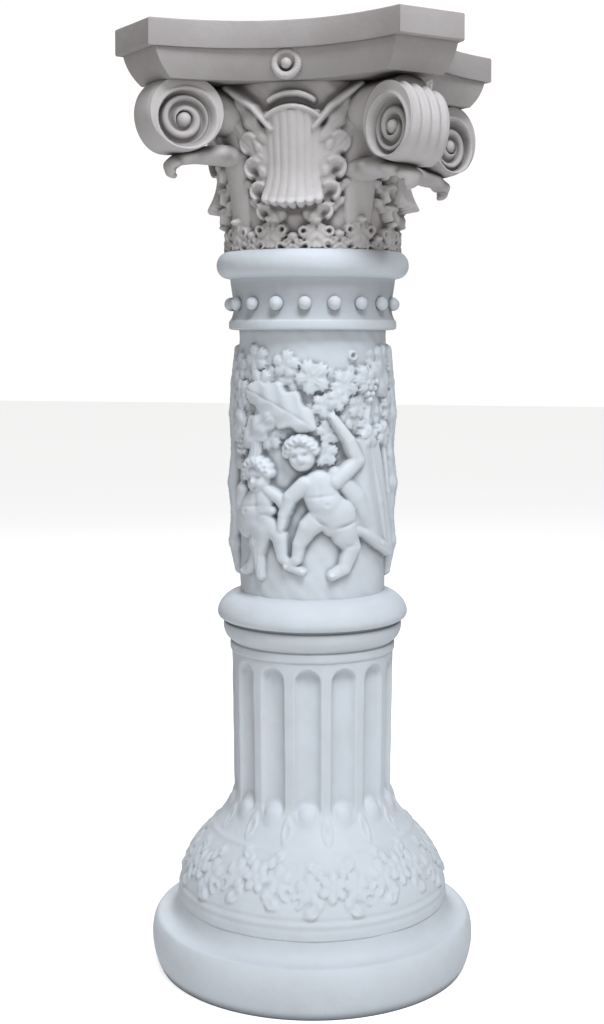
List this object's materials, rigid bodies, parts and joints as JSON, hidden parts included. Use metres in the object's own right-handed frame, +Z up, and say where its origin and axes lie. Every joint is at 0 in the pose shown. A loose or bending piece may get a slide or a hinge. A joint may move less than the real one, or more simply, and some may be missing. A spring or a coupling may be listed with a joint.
{
  "type": "column pedestal",
  "caption": "Column-shaped plant stand: round moulded foot, fluted shaft, relief drum of dancing children and vines, beaded neck and leafy scrolled capital with a flat hollow-sided top.",
  "frame": {"origin": "centre of the underside, on the floor", "axes": "+Z up along the column's axis; the face with the children is turned to -Y"},
  "size_m": [0.3236, 0.3236, 0.9],
  "materials": {
    "painted_plaster": "matte"
  },
  "bodies": {
    "root": {"column_pedestal": "painted_plaster"}
  },
  "joints": []
}
